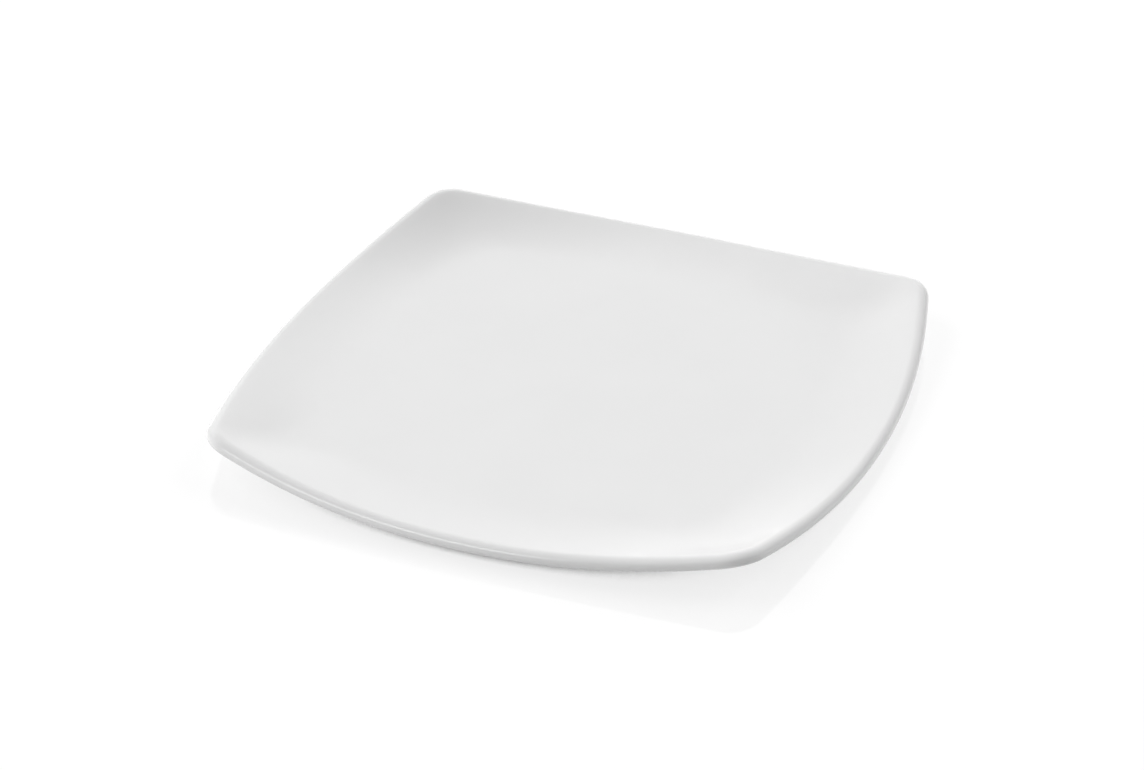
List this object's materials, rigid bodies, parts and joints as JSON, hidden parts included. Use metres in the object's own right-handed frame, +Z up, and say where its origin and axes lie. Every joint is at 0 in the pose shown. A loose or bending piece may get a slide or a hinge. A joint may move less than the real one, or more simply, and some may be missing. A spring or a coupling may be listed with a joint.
{
  "type": "square dinner plate",
  "caption": "Square dinner plate of white glazed porcelain with bowed sides, upswept rounded corners, a shallow flat well and a bare foot ring.",
  "frame": {"origin": "centre of the plate's footprint, on the table that its foot ring stands on", "axes": "+Z up out of the well, X and Y towards the middles of the sides"},
  "size_m": [0.26, 0.26, 0.0176],
  "materials": {
    "glaze": "gloss",
    "bisque": "matte"
  },
  "bodies": {
    "root": {"porcelain_body": "bisque", "glaze_coat": "glaze", "recess_glaze": "glaze"}
  },
  "joints": []
}
